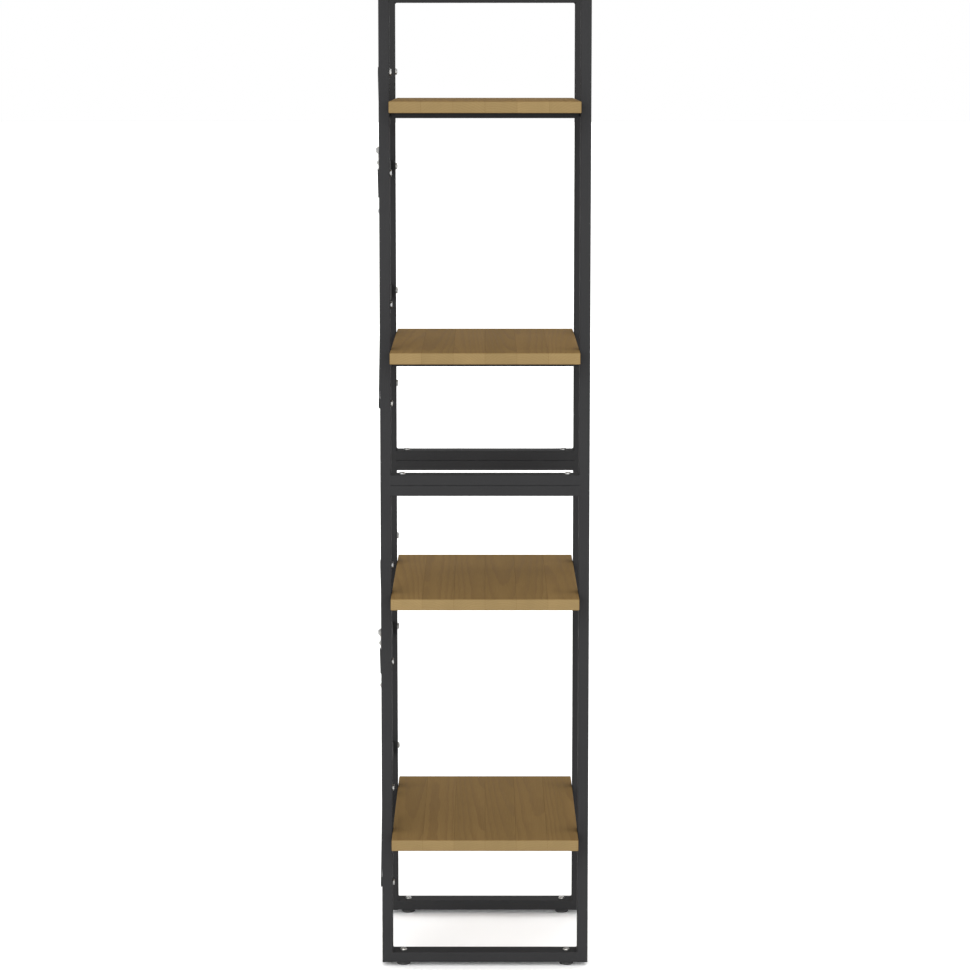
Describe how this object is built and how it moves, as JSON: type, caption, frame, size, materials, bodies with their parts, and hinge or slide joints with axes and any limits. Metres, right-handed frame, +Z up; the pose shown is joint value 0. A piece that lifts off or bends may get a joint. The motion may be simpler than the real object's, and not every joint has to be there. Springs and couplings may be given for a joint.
{
  "type": "bookcase with adjustable shelves",
  "caption": "Tall narrow open bookcase: stacked welded black steel end frames with crossed back braces, and solid pine shelves on support channels and pins that lift off to be re-set.",
  "frame": {"origin": "on the floor, under the middle of the whole bookcase's box", "axes": "+Z up; +X towards the open front; +Y along the shelves, to the right seen from the front"},
  "size_m": [0.3046, 0.4, 1.4],
  "materials": {
    "black_steel": "fine matt powder coat",
    "pine_board": "honey-brown stained pine, satin wax",
    "zinc_hardware": "bright zinc plate",
    "black_plastic": "moulded, fine grain"
  },
  "bodies": {
    "frame": {"lower_left_back_post": "black_steel", "lower_left_front_post": "black_steel", "lower_left_bottom_rail": "black_steel", "lower_left_top_rail": "black_steel", "lower_left_short_strap": "black_steel", "lower_left_long_strap": "black_steel", "lower_right_back_post": "black_steel", "lower_right_front_post": "black_steel", "lower_right_bottom_rail": "black_steel", "lower_right_top_rail": "black_steel", "lower_right_short_strap": "black_steel", "lower_right_long_strap": "black_steel", "lower_bottom_tie_bar": "black_steel", "lower_top_tie_bar": "black_steel", "upper_left_back_post": "black_steel", "upper_left_front_post": "black_steel", "upper_left_bottom_rail": "black_steel", "upper_left_top_rail": "black_steel", "upper_left_short_strap": "black_steel", "upper_left_long_strap": "black_steel", "upper_right_back_post": "black_steel", "upper_right_front_post": "black_steel", "upper_right_bottom_rail": "black_steel", "upper_right_top_rail": "black_steel", "upper_right_short_strap": "black_steel", "upper_right_long_strap": "black_steel", "upper_bottom_tie_bar": "black_steel", "upper_top_tie_bar": "black_steel", "tie_bolts": "black_steel", "brace_studs": "black_steel", "brace_spacers": "black_steel", "tension_sleeves": "black_steel", "shelf_pins": "black_steel", "post_end_plugs": "black_plastic", "hole_plugs": "black_plastic", "stacking_bolts": "zinc_hardware", "stacking_nuts": "zinc_hardware", "foot_bolts": "zinc_hardware", "back_nuts": "zinc_hardware", "tension_anchors": "zinc_hardware", "tension_rods": "zinc_hardware", "tension_nuts": "zinc_hardware"},
    "shelf_1": {"shelf_1_board": "pine_board", "shelf_1_channels": "black_steel", "shelf_1_screws": "zinc_hardware"},
    "shelf_2": {"shelf_2_board": "pine_board", "shelf_2_channels": "black_steel", "shelf_2_screws": "zinc_hardware"},
    "shelf_3": {"shelf_3_board": "pine_board", "shelf_3_channels": "black_steel", "shelf_3_screws": "zinc_hardware"},
    "shelf_4": {"shelf_4_board": "pine_board", "shelf_4_channels": "black_steel", "shelf_4_screws": "zinc_hardware"},
    "left_back_foot": {"left_back_foot": "black_plastic"},
    "left_front_foot": {"left_front_foot": "black_plastic"},
    "right_back_foot": {"right_back_foot": "black_plastic"},
    "right_front_foot": {"right_front_foot": "black_plastic"}
  },
  "joints": [
    {"name": "shelf_1_lift", "type": "slide", "parent": "frame", "child": "shelf_1", "axis": [0, 0, 1], "range_m": [0, 0.0317]},
    {"name": "shelf_2_lift", "type": "slide", "parent": "frame", "child": "shelf_2", "axis": [0, 0, 1], "range_m": [0, 0.0317]},
    {"name": "shelf_3_lift", "type": "slide", "parent": "frame", "child": "shelf_3", "axis": [0, 0, 1], "range_m": [0, 0.0317]},
    {"name": "shelf_4_lift", "type": "slide", "parent": "frame", "child": "shelf_4", "axis": [0, 0, 1], "range_m": [0, 0.0317]},
    {"name": "left_back_foot_height", "type": "slide", "parent": "frame", "child": "left_back_foot", "axis": [0, 0, -1], "range_m": [0, 0.003]},
    {"name": "left_front_foot_height", "type": "slide", "parent": "frame", "child": "left_front_foot", "axis": [0, 0, -1], "range_m": [0, 0.003]},
    {"name": "right_back_foot_height", "type": "slide", "parent": "frame", "child": "right_back_foot", "axis": [0, 0, -1], "range_m": [0, 0.003]},
    {"name": "right_front_foot_height", "type": "slide", "parent": "frame", "child": "right_front_foot", "axis": [0, 0, -1], "range_m": [0, 0.003]}
  ]
}
